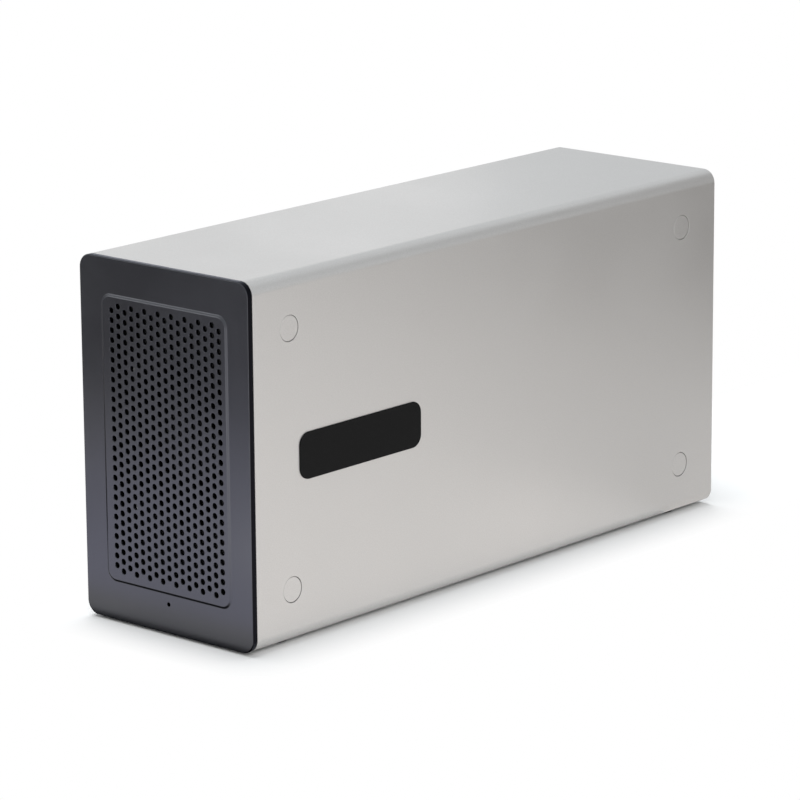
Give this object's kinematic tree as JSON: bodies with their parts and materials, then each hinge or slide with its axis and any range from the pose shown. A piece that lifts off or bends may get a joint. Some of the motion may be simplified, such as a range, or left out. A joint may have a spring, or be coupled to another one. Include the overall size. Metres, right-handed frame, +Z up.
{
  "type": "pcie expansion chassis",
  "caption": "Upright desktop chassis: a silver sleeve with a perforated dark front plate, and a slide-out tray with card slots, a fan and rear ports.",
  "frame": {"origin": "middle of the footprint, on the surface it stands on", "axes": "+X to the right side with the badge, +Y to the rear ports, +Z up"},
  "size_m": [0.0804, 0.262, 0.131],
  "materials": {
    "shell_silver": "satin anodised",
    "plate_charcoal": "semi-gloss charcoal paint",
    "badge_black": "smooth black",
    "foot_rubber": "matt",
    "sheet_steel": "zinc plated",
    "bulkhead_black": "matt black paint",
    "fastener_steel": "plated",
    "insert_brass": "turned",
    "glide_plastic": "smooth",
    "board_laminate": "solder resist",
    "connector_plastic": "moulded",
    "latch_plastic": "moulded",
    "port_metal": "nickel plated",
    "chip_black": "moulded",
    "heatsink_metal": "black anodised",
    "pin_plastic": "moulded",
    "capacitor_can": "plain",
    "indicator_clear": "clear",
    "fan_plastic": "moulded",
    "stator_metal": "wound copper"
  },
  "bodies": {
    "sleeve": {"outer_shell": "shell_silver", "front_plate": "plate_charcoal", "front_bracket_left": "sheet_steel", "front_bracket_right": "sheet_steel", "rear_bracket_left": "sheet_steel", "rear_bracket_right": "sheet_steel", "shell_rivets_left": "shell_silver", "shell_rivets_right": "shell_silver", "front_plate_studs": "fastener_steel", "front_plate_nuts": "fastener_steel", "rear_insert_nuts": "insert_brass", "base_feet": "foot_rubber", "side_badge": "badge_black"},
    "tray": {"base_tray": "sheet_steel", "tray_glides": "glide_plastic", "tray_screws": "fastener_steel", "fan_bulkhead": "bulkhead_black", "slot_pan": "sheet_steel", "slot_cover_1": "sheet_steel", "slot_cover_2": "sheet_steel", "slot_cover_screws": "fastener_steel", "rear_plate": "plate_charcoal", "rear_plate_screws": "fastener_steel", "thumbscrew_ferrules": "insert_brass", "carrier_board": "board_laminate", "board_standoffs": "insert_brass", "board_screws": "fastener_steel", "card_slot_1": "connector_plastic", "card_slot_2": "connector_plastic", "io_board": "board_laminate", "io_connector": "connector_plastic", "host_port_1": "port_metal", "host_port_2": "port_metal", "video_port": "port_metal", "power_jack": "connector_plastic", "controller_chip": "chip_black", "controller_heatsink": "heatsink_metal", "heatsink_pins": "pin_plastic", "bulk_capacitors": "capacitor_can", "power_inductors": "chip_black", "regulator_chips": "chip_black", "fan_header": "connector_plastic", "status_led": "indicator_clear", "light_pipe": "indicator_clear", "fan_frame": "fan_plastic", "fan_stator": "stator_metal", "fan_screws": "fastener_steel"},
    "fan_rotor": {"fan_impeller": "fan_plastic"},
    "thumbscrew_left": {"thumbscrew_left": "fastener_steel"},
    "thumbscrew_right": {"thumbscrew_right": "fastener_steel"},
    "latch_1": {"slot_latch_1": "latch_plastic"},
    "latch_2": {"slot_latch_2": "latch_plastic"}
  },
  "joints": [
    {"name": "tray_slide", "type": "slide", "parent": "sleeve", "child": "tray", "axis": [0, 1, 0], "range_m": [0, 0.235]},
    {"name": "fan_spin", "type": "hinge", "parent": "tray", "child": "fan_rotor", "pos_m": [0, -0.11, 0.066], "axis": [0, 1, 0], "continuous": true},
    {"name": "thumbscrew_left_turn", "type": "hinge", "parent": "tray", "child": "thumbscrew_left", "pos_m": [-0.033, 0.127, 0.107], "axis": [0, 1, 0], "continuous": true},
    {"name": "thumbscrew_right_turn", "type": "hinge", "parent": "tray", "child": "thumbscrew_right", "pos_m": [0.033, 0.127, 0.107], "axis": [0, 1, 0], "continuous": true},
    {"name": "latch_1_tilt", "type": "hinge", "parent": "tray", "child": "latch_1", "pos_m": [0.00357, -0.0282, 0.0137], "axis": [1, 0, 0], "range_deg": [0, 25]},
    {"name": "latch_2_tilt", "type": "hinge", "parent": "tray", "child": "latch_2", "pos_m": [0.02389, -0.0282, 0.0137], "axis": [1, 0, 0], "range_deg": [0, 25]}
  ]
}
